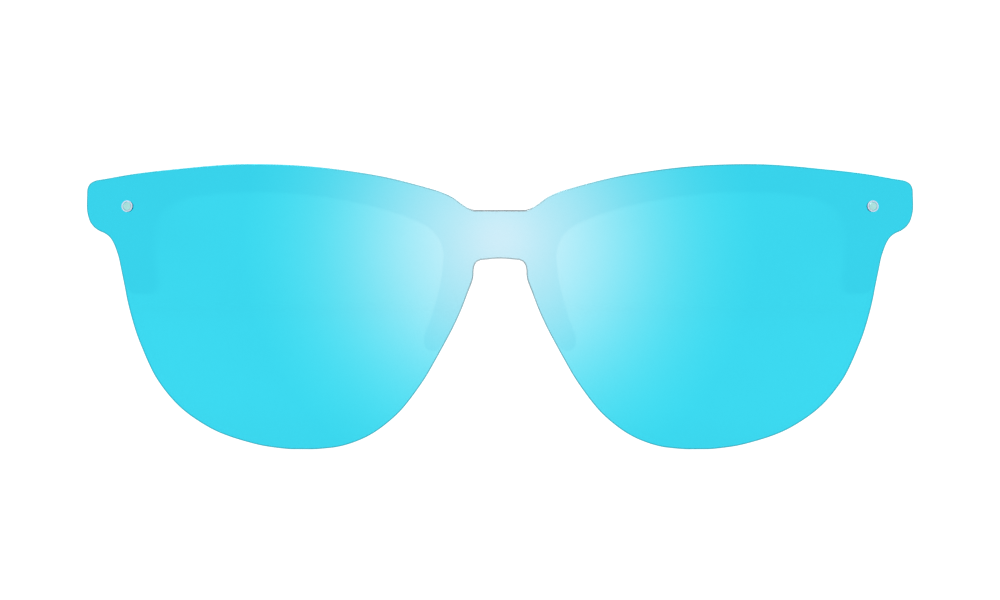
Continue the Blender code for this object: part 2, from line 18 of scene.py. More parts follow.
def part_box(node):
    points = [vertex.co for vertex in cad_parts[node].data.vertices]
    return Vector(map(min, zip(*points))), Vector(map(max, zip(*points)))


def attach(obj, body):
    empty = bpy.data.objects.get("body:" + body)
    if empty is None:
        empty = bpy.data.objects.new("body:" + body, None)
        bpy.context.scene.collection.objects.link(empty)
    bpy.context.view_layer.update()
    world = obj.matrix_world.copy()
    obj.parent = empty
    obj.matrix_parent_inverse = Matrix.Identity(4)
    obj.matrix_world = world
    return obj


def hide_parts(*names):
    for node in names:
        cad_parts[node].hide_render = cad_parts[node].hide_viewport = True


MM = 0.001
SIDES = {"left": 1, "right": -1}

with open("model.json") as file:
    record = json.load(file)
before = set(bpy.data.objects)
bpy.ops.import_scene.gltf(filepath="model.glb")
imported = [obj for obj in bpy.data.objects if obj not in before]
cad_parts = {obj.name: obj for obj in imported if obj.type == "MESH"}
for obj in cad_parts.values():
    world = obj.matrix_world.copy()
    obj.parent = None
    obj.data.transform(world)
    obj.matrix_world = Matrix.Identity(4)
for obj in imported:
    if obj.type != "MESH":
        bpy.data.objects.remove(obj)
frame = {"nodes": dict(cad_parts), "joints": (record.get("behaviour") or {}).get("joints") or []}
bpy.context.view_layer.update()


def cad_box(node):
    """A CAD node's lowest and highest corners in millimetres."""
    return [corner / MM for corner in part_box(node)]


def centre_of(node):
    low, high = cad_box(node)
    return (low + high) / 2


# The lens's front is a sphere, and the frame nests behind it on a concentric one.
LENS_RADIUS = 265.0
LENS_MID_Z = 25.0
LENS_THICKNESS = 2.0
FRAME_FRONT = 2.2  # depths are measured inwards from the lens's front
FRAME_BACK = 5.4
LENS_APEX_Y = cad_box("shield_lens")[0].y
CURVE_CENTRE = Vector((0, LENS_APEX_Y + LENS_RADIUS, LENS_MID_Z))

PIN = centre_of("lens_pin_left")
PIN_ENTRY_RADIUS = 2.0  # holes this near a pin's entry belong to it
COLUMNS_TO_PIN = 22  # grid columns and rows of a plate from x = 0 and z = 0 to the pin
ROWS_TO_PIN = 14
RIM_STEP = 0.4
STRAIGHT_WITHIN = math.radians(0.3)
FACES_FRONT = -0.5  # faces whose normal's Y is lower belong to a node's front
TINY = 1e-4
WELD_WITHIN = 1e-3
ROD_SIDES = 32
CLEARANCE = 1.0  # how far a cutting tool stands out of the piece that it cuts

RIM_ROUNDING = 0.2
FRAME_ROUNDING = 0.4
RIM_STEPS = 4  # strips across a rounded edge
BLOCK_INNER_X = 66.95  # the frame's ends are thicker beyond this, up to BLOCK_BACK behind the lens's apex
BLOCK_BLEND = 0.8
BLEND_STEPS = 6
BLOCK_BACK = 16.6


def sphere_y(x, z, depth=0.0):
    """Y of the surface that lies depth behind the lens's front."""
    radius = LENS_RADIUS - depth
    return CURVE_CENTRE.y - math.sqrt(radius**2 - x**2 - (z - LENS_MID_Z) ** 2)


def ramp(value, start, end):
    """0 up to the start, 1 from the end on, and even in between."""
    return min(max((value - start) / (end - start), 0.0), 1.0)


def smoothstep(value, start, end):
    share = ramp(value, start, end)
    return share * share * (3 - 2 * share)


# Objects and modifiers

def add_object(name, mesh):
    obj = bpy.data.objects.new(name, mesh)
    bpy.context.scene.collection.objects.link(obj)
    return obj


def from_bmesh(name, bm):
    """An object from a bmesh, whose millimetres become metres."""
    bmesh.ops.recalc_face_normals(bm, faces=bm.faces)
    bm.transform(Matrix.Scale(MM, 4))
    mesh = bpy.data.meshes.new(name)
    bm.to_mesh(mesh)
    bm.free()
    mesh.shade_smooth()
    return add_object(name, mesh)


def bake(obj):
    """Replaces the object's mesh with its shape after all its modifiers."""
    bpy.context.view_layer.update()
    graph = bpy.context.evaluated_depsgraph_get()
    mesh = bpy.data.meshes.new_from_object(obj.evaluated_get(graph))
    obj.modifiers.clear()
    obj.data = mesh
    return obj


def combine(target, tool, operation):
    modifier = target.modifiers.new("combine", "BOOLEAN")
    modifier.operation = operation
    modifier.solver = "EXACT"
    modifier.object = tool
    bake(target)
    bpy.data.objects.remove(tool)
    return target


def cut(target, *tools):
    for tool in tools:
        combine(target, tool, "DIFFERENCE")
    return target


def round_edges(obj, width, segments=3, angle=40.0):
    """Rounds every edge sharper than the angle, with a radius in millimetres."""
    bevel = obj.modifiers.new("rounding", "BEVEL")
    bevel.width = width * MM
    bevel.segments = segments
    bevel.limit_method = "ANGLE"
    bevel.angle_limit = math.radians(angle)
    bevel.miter_outer = "MITER_ARC"
    return obj


def even_normals(obj):
    """Lets large faces set the shading, so that rounded edges don't bend it."""
    normals = obj.modifiers.new("shading", "WEIGHTED_NORMAL")
    normals.weight = 90
    normals.keep_sharp = True
    return obj


def mirrored_mesh(obj, name):
    """A copy on the other side of the plane x = 0."""
    mesh = obj.data.copy()
    mesh.transform(Matrix.Scale(-1, 4, Vector((1, 0, 0))))
    mesh.flip_normals()
    return add_object(name, mesh)


# Plates whose outline comes from a CAD node

def rim_loops(node):
    """The rims of the node's front, as closed loops of (x, z) in millimetres, the longest first."""
    bm = bmesh.new()
    bm.from_mesh(frame["nodes"][node].data)
    bm.transform(Matrix.Scale(1 / MM, 4))
    bmesh.ops.remove_doubles(bm, verts=bm.verts, dist=TINY)
    beside = {}
    for edge in bm.edges:
        facing = sorted(face.normal.y for face in edge.link_faces)
        if facing[0] < FACES_FRONT < facing[-1]:
            for here, there in (edge.verts, reversed(edge.verts)):
                beside.setdefault(here, []).append(there)
    loops = []
    while beside:
        vert = next(iter(beside))
        loop = []
        while vert is not None:
            loop.append(Vector((vert.co.x, vert.co.z)))
            following = [other for other in beside.pop(vert) if other in beside]
            vert = following[0] if following else None
        loops.append(loop)
    bm.free()
    return sorted(loops, key=len, reverse=True)


def without_straight_points(loop):
    """The loop without the points that lie inside its straight stretches."""
    kept = []
    for i, point in enumerate(loop):
        before = point - loop[i - 1]
        after = loop[(i + 1) % len(loop)] - point
        if abs(before.angle_signed(after)) > STRAIGHT_WITHIN:
            kept.append(point)
    return kept


def smooth_loop(loop):
    """Points about RIM_STEP apart on a smooth curve through the loop, straight between two level points."""
    corners = without_straight_points(loop)
    count = len(corners)
    fine = []
    for i in range(count):
        p0, p1, p2, p3 = (corners[(i + k) % count] for k in (-1, 0, 1, 2))
        steps = max(1, round((p2 - p1).length / RIM_STEP))
        k0, k1, k2 = (math.sqrt((b - a).length) for a, b in ((p0, p1), (p1, p2), (p2, p3)))
        leave = k1 * ((p1 - p0) / k0 - (p2 - p0) / (k0 + k1) + (p2 - p1) / k1)
        arrive = k1 * ((p2 - p1) / k1 - (p3 - p1) / (k1 + k2) + (p3 - p2) / k2)
        level = abs(p1.y - p2.y) < TINY
        for step in range(steps):
            t = step / steps
            if level:
                fine.append(p1.lerp(p2, t))
                continue
            cubic = (2 * t**3 - 3 * t**2 + 1) * p1 + (t**3 - 2 * t**2 + t) * leave
            fine.append(cubic + (3 * t**2 - 2 * t**3) * p2 + (t**3 - t**2) * arrive)
    return fine


def gridded_sheet(loops, extra_columns):
    """A flat sheet in X and Z inside the first loop and outside the others, cut into grid cells."""
    step_x = PIN.x / COLUMNS_TO_PIN
    step_z = PIN.z / ROWS_TO_PIN
    points = [Vector((p.x, 0, p.y)) for loop in loops for p in loop]
    bm = bmesh.new()
    verts = [bm.verts.new(point) for point in points]
    flat_loops = [[Vector((p.x, p.y, 0)) for p in loop] for loop in loops]
    for corners in tessellate_polygon(flat_loops):
        bm.faces.new([verts[i] for i in corners])
    reach_x = max(abs(p.x) for p in points)
    reach_z = max(p.z for p in points)
    columns = {step_x * i for i in range(-int(reach_x / step_x), int(reach_x / step_x) + 1)}
    columns |= set(extra_columns)
    rows = {step_z * i for i in range(1, int(reach_z / step_z) + 1)}
    lines = [(0, x) for x in sorted(columns)] + [(2, z) for z in sorted(rows)]
    for axis, place in lines:
        normal = Vector((0, 0, 0))
        normal[axis] = 1
        bmesh.ops.bisect_plane(
            bm, geom=[*bm.verts, *bm.edges, *bm.faces], dist=TINY / 10,
            plane_co=normal * place, plane_no=normal,
        )

    def on_line(edge):
        a, b = (vert.co for vert in edge.verts)
        return any(abs(a[axis] - place) < TINY and abs(b[axis] - place) < TINY for axis, place in lines)

    loose = [edge for edge in bm.edges if not edge.is_boundary and not on_line(edge)]
    bmesh.ops.dissolve_edges(bm, edges=loose, use_verts=False)
    spare = [vert for vert in bm.verts if len(vert.link_edges) == 2 and not vert.is_boundary]
    bmesh.ops.dissolve_verts(bm, verts=spare)
    return bm


def behind(x, z, front_y, back_y):
    """Where a rim point at (x, z) comes out behind: straight back, or along the pin if in its hole."""
    for side in SIDES.values():
        if math.hypot(x - side * PIN.x, z - PIN.z) < PIN_ENTRY_RADIUS:
            inwards = CURVE_CENTRE - Vector((x, front_y(x, z), z))
            depth = back_y(x, z) - front_y(x, z)
            return x + inwards.x / inwards.y * depth, z + inwards.z / inwards.y * depth
    return x, z


def outward_normals(ring):
    """The unit normals that point off the sheet, for a closed ring with the sheet on its left."""
    normals = []
    for i, point in enumerate(ring):
        before = (point - ring[i - 1]).normalized()
        after = (ring[(i + 1) % len(ring)] - point).normalized()
        along_rim = (before + after).normalized()
        normals.append(Vector((along_rim.y, -along_rim.x)))
    return normals


def inset(loop, width, is_hole):
    """The loop moved onto the sheet by the width, turned so that the sheet is on its left."""
    area = sum(a.x * b.y - b.x * a.y for a, b in zip(loop, loop[1:] + loop[:1]))
    if (area > 0) == is_hole:
        loop = loop[::-1]
    return [point - normal * width for point, normal in zip(loop, outward_normals(loop))]


def rim_rings(sheet):
    """The sheet's boundary as closed rings of vertices, with the sheet on their left."""
    following = {}
    for face in sheet.faces:
        for loop in face.loops:
            if loop.edge.is_boundary:
                following[loop.vert] = loop.link_loop_next.vert
    rings = []
    while following:
        vert = next(iter(following))
        ring = []
        while vert in following:
            ring.append(vert)
            vert = following.pop(vert)
        rings.append(ring)
    return rings


def plate(name, outline, holes, rounding, front_y, back_y, extra_columns=()):
    """A solid between two surfaces, with rounded rims: material 0 in front, 1 round the rim, 2 behind."""
    loops = [inset(outline, rounding, False)] + [inset(hole, rounding, True) for hole in holes]
    sheet = gridded_sheet(loops, extra_columns)
    for face in sheet.faces:
        face.normal_update()
        if face.normal.y > 0:
            face.normal_flip()
    bm = bmesh.new()
    front = {}
    for vert in sheet.verts:
        x, z = vert.co.x, vert.co.z
        front[vert] = bm.verts.new((x, front_y(x, z), z))
    back = {}
    for vert in sheet.verts:
        x, z = vert.co.x, vert.co.z
        if vert.is_boundary:
            x, z = behind(x, z, front_y, back_y)
        back[vert] = bm.verts.new((x, back_y(x, z), z))
    for face in sheet.faces:
        bm.faces.new([front[vert] for vert in face.verts]).material_index = 0
        bm.faces.new([back[vert] for vert in reversed(face.verts)]).material_index = 2
    turns = [math.radians(90) * step / RIM_STEPS for step in range(RIM_STEPS + 1)]
    for ring in rim_rings(sheet):
        normals = outward_normals([Vector((vert.co.x, vert.co.z)) for vert in ring])
        strips = [[front[vert] for vert in ring]]
        for is_back, angles in ((False, turns[1:]), (True, turns[:0:-1])):
            for angle in angles:
                out, sunk = rounding * math.sin(angle), rounding * (1 - math.cos(angle))
                strip = []
                for vert, normal in zip(ring, normals):
                    x, z = vert.co.x + normal.x * out, vert.co.z + normal.y * out
                    if is_back:
                        x, z = behind(x, z, front_y, back_y)
                        strip.append(bm.verts.new((x, back_y(x, z) - sunk, z)))
                    else:
                        strip.append(bm.verts.new((x, front_y(x, z) + sunk, z)))
                strips.append(strip)
        strips.append([back[vert] for vert in ring])
        for near, far in zip(strips, strips[1:]):
            for i in range(len(ring)):
                j = (i + 1) % len(ring)
                bm.faces.new((near[i], near[j], far[j], far[i])).material_index = 1
    sheet.free()
    return from_bmesh(name, bm)


# Materials

NOISE_SPAN = (0.3, 0.7)  # where most values of a noise lie
UNEVENNESS = 0.15  # of a finish's roughness


class Nodes:
    """Short calls for building one material's node tree."""

    def __init__(self, name):
        self.material = bpy.data.materials.new(name)
        self.material.use_nodes = True
        self.tree = self.material.node_tree
        self.shader = self.tree.nodes["Principled BSDF"]
        self.place = self.tree.nodes.new("ShaderNodeTexCoord").outputs["Object"]

    def put(self, socket, value):
        if isinstance(value, bpy.types.NodeSocket):
            self.tree.links.new(value, socket)
        else:
            socket.default_value = value

    def node(self, kind, **settings):
        made = self.tree.nodes.new("ShaderNode" + kind)
        for key, value in settings.items():
            setattr(made, key, value)
        return made

    def math(self, operation, a, b=0.0):
        made = self.node("Math", operation=operation)
        self.put(made.inputs[0], a)
        self.put(made.inputs[1], b)
        return made.outputs[0]

    def vector(self, operation, a, b):
        made = self.node("VectorMath", operation=operation)
        self.put(made.inputs[0], a)
        self.put(made.inputs["Scale" if operation == "SCALE" else 1], b)
        return made.outputs["Value" if operation == "DISTANCE" else "Vector"]

    def noise(self, size, detail=2.0, stretch=(1, 1, 1)):
        """Noise from 0 to 1 whose features are about size millimetres, stretched along the axes."""
        place = self.vector("DIVIDE", self.place, stretch)
        made = self.node("TexNoise")
        self.put(made.inputs["Vector"], place)
        made.inputs["Scale"].default_value = 1 / (size * MM)
        made.inputs["Detail"].default_value = detail
        return made.outputs["Fac"]

    def ranged(self, noise, low, high):
        """The noise's usual values, spread from low to high."""
        made = self.node("MapRange")
        made.inputs["From Min"].default_value, made.inputs["From Max"].default_value = NOISE_SPAN
        made.inputs["To Min"].default_value = low
        made.inputs["To Max"].default_value = high
        self.put(made.inputs["Value"], noise)
        return made.outputs["Result"]

    def mix(self, factor, a, b):
        made = self.node("Mix", data_type="RGBA")
        self.put(made.inputs["Factor"], factor)
        for name, value in (("A", a), ("B", b)):
            socket = next(s for s in made.inputs if s.name == name and s.type == "RGBA")
            self.put(socket, value)
        return next(s for s in made.outputs if s.type == "RGBA")

    def bump(self, height, depth):
        """Relief of this depth in millimetres."""
        made = self.node("Bump")
        made.inputs["Strength"].default_value = 1.0
        made.inputs["Distance"].default_value = depth * MM
        self.put(made.inputs["Height"], height)
        self.put(self.shader.inputs["Normal"], made.outputs["Normal"])

    def see_through(self, share, kind, colour, **sockets):
        """Mixes in a share of a see-through shader, tinted with the colour."""
        clear = self.node(kind)
        self.put(clear.inputs["Color"], colour)
        for socket, value in sockets.items():
            clear.inputs[socket].default_value = value
        blend = self.node("MixShader")
        blend.inputs["Fac"].default_value = share
        self.put(blend.inputs[1], self.shader.outputs["BSDF"])
        self.put(blend.inputs[2], clear.outputs["BSDF"])
        self.put(self.tree.nodes["Material Output"].inputs["Surface"], blend.outputs["Shader"])


def shade(colour, factor):
    return (*(channel * factor for channel in colour[:3]), 1.0)


def textured(
    name, colour, roughness, metallic=0.0, mottle=0.12, mottle_size=6.0, grain=0.3, grain_depth=0.01,
    stretch=(1, 1, 1), **sockets,
):
    """A moulded or metal finish: mottled colour, uneven roughness, and a fine grain in relief."""
    nodes = Nodes(name)
    patches = nodes.noise(mottle_size, detail=3)
    fine = nodes.noise(grain, detail=3, stretch=stretch)
    base = nodes.mix(
        nodes.ranged(patches, 0, 1), shade(colour, 1 - mottle), shade(colour, 1 + mottle),
    )
    rough = nodes.ranged(fine, roughness * (1 - UNEVENNESS), roughness * (1 + UNEVENNESS))
    nodes.put(nodes.shader.inputs["Base Color"], base)
    nodes.put(nodes.shader.inputs["Roughness"], rough)
    nodes.shader.inputs["Metallic"].default_value = metallic
    for socket, value in sockets.items():
        nodes.shader.inputs[socket.replace("_", " ")].default_value = value
    nodes.bump(fine, grain_depth)
    return nodes.material


STUDIO_LEVEL = 1.2  # radiance of the white surroundings, so that no surface needs more than full reflectance

# A painted highlight: the mirror coating's colour is painted pale round a point on the bridge, as a
# reflected light would be, and turns to full colour outwards.
PAINTED_HIGHLIGHT_CENTRE = (0.0, 0.0, 36.3 * MM)
PAINTED_HIGHLIGHT_REACH = 21.2 * MM
PAINTED_HIGHLIGHT_CORE_REACH = 5.5 * MM
PAINTED_HIGHLIGHT_CORE = 0.16  # how much the core adds to the painted highlight
PAINTED_HIGHLIGHT_TAIL = 0.012  # the wide part of the painted highlight ends where it has fallen to this
PAINTED_HIGHLIGHT_SPREAD = (1.0, 0.6, 0.65)  # exponents that spread the painted highlight wider in green and blue
COATING_DEEP = (0.0452, 0.687, 0.863)  # seen against white, per channel
# how much the painted highlight lightens each channel at its centre
PAINTED_HIGHLIGHT_GAIN = (0.565, 0.192, 0.105)
COATING_REFLECTS = (0.885, 0.945, 0.965)  # share of that colour that isn't light from behind the lens
COATING_LETS_THROUGH = 0.21
LENS_LETS_THROUGH = 0.21
LENS_HAZE = 0.45  # blurs what is far behind the lens, and hardly the frame just behind it
COATING_ROUGHNESS = (0.05, 0.075)
COATING_CLOUD = (0.994, 1.006)  # how much the colour wanders
CLOUD_SIZE = 14.0
WAVE_SIZE = 2.2
WAVE_DEPTH = 0.0006
SMEAR_SIZE = 3.0  # of the patches that differ in roughness
CLEAR_IOR = 1.5
BACK_IOR = 1.58
BACK_DARKS = ((0.010, 0.013, 0.017, 1.0), (0.014, 0.018, 0.023, 1.0))
BACK_ROUGHNESS = (0.06, 0.1)
BACK_PATCHES = 18.0
BACK_SMEARS = 4.0
# The rim's deep colour is the bare edge's own teal, darkened with painted shade where the bevel would
# reflect the shaded floor.
EDGE_TEAL_AND_SHADE = (0.03, 0.40, 0.49, 1.0)
# the rim's colour where the painted highlight lies, painted paler
EDGE_PAINTED_HIGHLIGHT = (0.34, 0.42, 0.45, 1.0)
EDGE_ROUGHNESS = (0.18, 0.3)
EDGE_METALLIC = 0.85
EDGE_LINES = 0.3  # how much the cutter's lines darken the rim
LINE_SIZE = 0.25
LINE_STRETCH = (1, 8, 1)
LINE_DEPTH = 0.004


def painted_highlight_share(nodes):
    """The painted highlight's share: 1 at its centre and a little more in its core, falling off with the
    distance in X and Z.
    """
    flat = nodes.vector("MULTIPLY", nodes.place, (1, 0, 1))
    away = nodes.vector("DISTANCE", flat, PAINTED_HIGHLIGHT_CENTRE)

    def bell(reach):
        ratio = nodes.math("DIVIDE", away, reach)
        return nodes.math("EXPONENT", nodes.math("MULTIPLY", nodes.math("MULTIPLY", ratio, ratio), -1.0))

    wide = nodes.math("MAXIMUM", nodes.math("SUBTRACT", bell(PAINTED_HIGHLIGHT_REACH), PAINTED_HIGHLIGHT_TAIL), 0.0)
    return nodes.math("ADD", wide, nodes.math("MULTIPLY", bell(PAINTED_HIGHLIGHT_CORE_REACH), PAINTED_HIGHLIGHT_CORE))


def coating_colour_with_highlight(nodes):
    """The coating's colour as a vector, as it looks against white, with the painted highlight added round
    the bridge.
    """
    painted_highlight = painted_highlight_share(nodes)
    made = nodes.node("CombineXYZ")
    for i, (deep, gain, spread) in enumerate(zip(COATING_DEEP, PAINTED_HIGHLIGHT_GAIN, PAINTED_HIGHLIGHT_SPREAD)):
        gained = nodes.math("MULTIPLY", nodes.math("POWER", painted_highlight, spread), gain)
        nodes.put(made.inputs[i], nodes.math("ADD", gained, deep))
    return made.outputs["Vector"]


def coating_material():
    """The mirror: what it reflects of the white studio and what it lets through add up to its colour."""
    nodes = Nodes("mirror_coating")
    # the colour to reach carries the painted highlight round the bridge
    seen = coating_colour_with_highlight(nodes)
    reflected = 1 / ((1 - COATING_LETS_THROUGH) * STUDIO_LEVEL)
    cloud = nodes.ranged(nodes.noise(CLOUD_SIZE, detail=2), *COATING_CLOUD)
    clouded = nodes.vector("SCALE", seen, cloud)
    nodes.put(
        nodes.shader.inputs["Base Color"],
        nodes.vector("MULTIPLY", clouded, [share * reflected for share in COATING_REFLECTS]),
    )
    smears = nodes.ranged(nodes.noise(SMEAR_SIZE), *COATING_ROUGHNESS)
    nodes.put(nodes.shader.inputs["Roughness"], smears)
    nodes.shader.inputs["Metallic"].default_value = 1.0
    nodes.bump(nodes.noise(WAVE_SIZE, detail=1), WAVE_DEPTH)
    passed = 1 / (COATING_LETS_THROUGH * LENS_LETS_THROUGH * STUDIO_LEVEL)
    tint = nodes.vector("MULTIPLY", seen, [(1 - share) * passed for share in COATING_REFLECTS])
    nodes.see_through(COATING_LETS_THROUGH, "BsdfTransparent", tint)
    return nodes.material


# The rim: the bare edge's teal with painted shade, and the cutter's lines.
def lens_edge_material():
    nodes = Nodes("lens_edge")
    # the rim is painted pale under the painted highlight round the bridge
    colour = nodes.mix(painted_highlight_share(nodes), EDGE_TEAL_AND_SHADE, EDGE_PAINTED_HIGHLIGHT)
    lines = nodes.noise(LINE_SIZE, detail=3, stretch=LINE_STRETCH)
    lined = nodes.mix(nodes.ranged(lines, 0, EDGE_LINES), colour, shade(EDGE_TEAL_AND_SHADE, 0.5))
    nodes.put(nodes.shader.inputs["Base Color"], lined)
    nodes.put(nodes.shader.inputs["Roughness"], nodes.ranged(lines, *EDGE_ROUGHNESS))
    nodes.shader.inputs["Metallic"].default_value = EDGE_METALLIC
    nodes.bump(lines, LINE_DEPTH)
    return nodes.material


def lens_back_material():
    nodes = Nodes("lens_back")
    patches = nodes.noise(BACK_PATCHES)
    nodes.put(nodes.shader.inputs["Base Color"], nodes.mix(nodes.ranged(patches, 0, 1), *BACK_DARKS))
    smears = nodes.ranged(nodes.noise(BACK_SMEARS), *BACK_ROUGHNESS)
    nodes.put(nodes.shader.inputs["Roughness"], smears)
    nodes.shader.inputs["IOR"].default_value = BACK_IOR
    nodes.see_through(
        LENS_LETS_THROUGH, "BsdfRefraction", (1, 1, 1, 1), IOR=CLEAR_IOR, Roughness=LENS_HAZE,
    )
    return nodes.material


FRAME_BLACK = (0.016, 0.017, 0.019, 1.0)
TEMPLE_BLACK = (0.017, 0.018, 0.020, 1.0)
RUBBER_BLACK = (0.021, 0.021, 0.023, 1.0)
SILICONE_CLEAR = (0.74, 0.77, 0.79, 1.0)
NYLON_PALE = (0.50, 0.60, 0.72, 1.0)
# painted reflection: the pin's steel is painted mint, the colour it shows reflecting its surroundings
PIN_PAINTED_REFLECTION = (0.34, 0.62, 0.60, 1.0)
STEEL_TURNED = (0.56, 0.56, 0.57, 1.0)
STEEL_STAMPED = (0.50, 0.50, 0.51, 1.0)
STEEL_DRAWN = (0.48, 0.48, 0.49, 1.0)

frame_plastic = textured(
    "frame_plastic", FRAME_BLACK, 0.36, mottle=0.15, grain=0.22, grain_depth=0.006, Specular_IOR_Level=0.35,
    Coat_Weight=0.08, Coat_Roughness=0.25,
)
temple_plastic = textured(
    "temple_plastic", TEMPLE_BLACK, 0.34, mottle=0.15, grain=0.22, grain_depth=0.006, stretch=(1, 1.6, 1),
    Specular_IOR_Level=0.35, Coat_Weight=0.08, Coat_Roughness=0.25,
)
silicone = textured(
    "silicone", SILICONE_CLEAR, 0.34, mottle=0.04, grain=0.14, grain_depth=0.006, Subsurface_Weight=0.35,
    Subsurface_Scale=0.8 * MM, Specular_IOR_Level=0.4,
)
soft_rubber = textured(
    "soft_rubber", RUBBER_BLACK, 0.58, mottle=0.12, grain=0.2, grain_depth=0.014, Sheen_Weight=0.08,
    Sheen_Roughness=0.45, Specular_IOR_Level=0.35,
)
nylon = textured(
    "sleeve_nylon", NYLON_PALE, 0.4, mottle=0.04, mottle_size=1.0, grain=0.12, grain_depth=0.004,
    Subsurface_Weight=0.1, Subsurface_Scale=0.3 * MM,
)
# the pin's steel carries the painted mint reflection as its colour
pin_steel = textured(
    "pin_steel", PIN_PAINTED_REFLECTION, 0.24, metallic=1.0, mottle=0.05, mottle_size=0.8, grain=0.12,
    grain_depth=0.003, stretch=(4, 1, 1),
)
steel = textured(
    "turned_steel", STEEL_TURNED, 0.28, metallic=1.0, mottle=0.08, mottle_size=1.2, grain=0.1,
    grain_depth=0.004, stretch=(1, 1, 5),
)
hinge_steel = textured(
    "hinge_steel", STEEL_STAMPED, 0.33, metallic=1.0, mottle=0.1, mottle_size=2.0, grain=0.14,
    grain_depth=0.006, stretch=(5, 5, 1),
)
wire_steel = textured(
    "wire_steel", STEEL_DRAWN, 0.35, metallic=1.0, mottle=0.08, mottle_size=2.0, grain=0.1,
    grain_depth=0.004, stretch=(1, 12, 1),
)


def dress(obj, *materials):
    """Gives a new object these materials, in the order of its faces' material numbers."""
    for material in materials:
        obj.data.materials.append(material)
    return obj


def dress_again(obj, material):
    """Gives the object this one material in place of what its cuts left in it."""
    obj.data.materials.clear()
    return dress(obj, material)


# Lens and frame

def make_lens():
    outline, *holes = (smooth_loop(loop) for loop in rim_loops("shield_lens"))
    lens = plate(
        "mirrored_shield", outline, holes, RIM_ROUNDING, sphere_y,
        lambda x, z: sphere_y(x, z, LENS_THICKNESS),
    )
    dress(lens, coating_material(), lens_edge_material(), lens_back_material())
    return even_normals(lens)


def pin_axes(upright=False):
    """A frame at the left pin's place on the lens: X outwards along it, Y inwards through it, Z up."""
    origin = Vector((PIN.x, 0, PIN.z))
    origin.y = sphere_y(PIN.x, PIN.z)
    inwards = CURVE_CENTRE - origin
    if upright:
        inwards.z = 0
    inwards.normalize()
    outwards = inwards.cross(Vector((0, 0, 1))).normalized()
    axes = Matrix((outwards, inwards, outwards.cross(inwards))).transposed().to_4x4()
    return Matrix.Translation(origin) @ axes


def box(low, high, axes=Matrix.Identity(4)):
    low, high = Vector(low), Vector(high)
    bm = bmesh.new()
    place = Matrix.Translation((low + high) / 2) @ Matrix.Diagonal((*(high - low), 1))
    bmesh.ops.create_cube(bm, size=1, matrix=axes @ place)
    return from_bmesh("box", bm)


def rod(radius, start, end, axes=Matrix.Identity(4)):
    start, end = Vector(start), Vector(end)
    turn = (end - start).to_track_quat("Z", "Y").to_matrix().to_4x4()
    bm = bmesh.new()
    bmesh.ops.create_cone(
        bm, cap_ends=True, segments=ROD_SIDES, radius1=radius, radius2=radius, depth=(end - start).length,
        matrix=axes @ Matrix.Translation((start + end) / 2) @ turn,
    )
    return from_bmesh("rod", bm)


def on_both_sides(tools):
    return [copy for tool in tools for copy in (tool, mirrored_mesh(tool, tool.name))]


def frame_back_y(x, z):
    """Y of the frame's back, with its thickened ends blended in."""
    plain = sphere_y(x, z, FRAME_BACK)
    thick = LENS_APEX_Y + BLOCK_BACK
    return plain + (thick - plain) * smoothstep(abs(x), BLOCK_INNER_X, BLOCK_INNER_X + BLOCK_BLEND)


# The hinge's seat and the holes behind the pin, in the pin's own axes.
LEAF_X = (-3.6, 3.0)
LEAF_SEAT = 5.0  # how far behind the lens's front the leaf lies
LEAF_HALF_HEIGHT = 3.1
FIT_GAP = 0.2
FOOT_SCREW_X = -2.4
FOOT_HOLE = (0.5, 3.0)  # radius, and the depth where it starts
PIN_HOLE_RADIUS = 0.55
BEYOND = 12.0  # clear of every piece of the front


def make_frame():
    outline = smooth_loop(rim_loops("front_frame")[0])
    blends = [BLOCK_INNER_X + BLOCK_BLEND * i / BLEND_STEPS for i in range(BLEND_STEPS + 1)]
    body = plate(
        "half_frame", outline, [], FRAME_ROUNDING, lambda x, z: sphere_y(x, z, FRAME_FRONT), frame_back_y,
        extra_columns=blends + [-x for x in blends],
    )
    cutters = [
        box(
            (LEAF_X[0] - FIT_GAP, LEAF_SEAT, -LEAF_HALF_HEIGHT - FIT_GAP),
            (LEAF_X[1] + FIT_GAP, BEYOND, LEAF_HALF_HEIGHT + FIT_GAP), pin_axes(upright=True),
        ),
        rod(PIN_HOLE_RADIUS, (0, 0, 0), (0, BEYOND, 0), pin_axes()),
        rod(
            FOOT_HOLE[0], (FOOT_SCREW_X, FOOT_HOLE[1], 0), (FOOT_SCREW_X, BEYOND, 0),
            pin_axes(upright=True),
        ),
    ]
    for root, end in map(peg_ends, PEG_PLACES):
        peg = root - end
        cutters.append(rod(PEG_HOLE_RADIUS, end - peg * PEG_HOLE_EXTRA, root + peg))
    cut(body, *on_both_sides(cutters))
    return dress_again(body, frame_plastic)


# Nose pads: soft ridges that stand on the backs of the frame's nose legs

PAD_SPINE = [Vector(p) for p in [(11.75, 18.6), (10.3, 21.6), (8.85, 25.2), (7.9, 28.6), (7.35, 31.6)]]
PAD_HALF_WIDTH = [0.75, 1.15, 1.25, 1.2, 0.75]
PAD_HEIGHT = [2.0, 4.1, 4.9, 4.2, 2.0]
PAD_SECTIONS = 40
PAD_ARC_STEPS = 20
PAD_END = 0.45  # how much of the first and last stretch is rounded off
PEG_PLACES = (1, 3)  # places along the spine
PEG_RADIUS = 0.5
PEG_HOLE_RADIUS = 0.65
PEG_LENGTH = 1.8
PEG_HOLE_EXTRA = 0.15  # how much deeper than the peg its hole is, as a share of its length
PAD_TIP_SHARE = 0.02  # keeps the first and last section from shrinking to a point
PAD_ROUNDING = 0.15


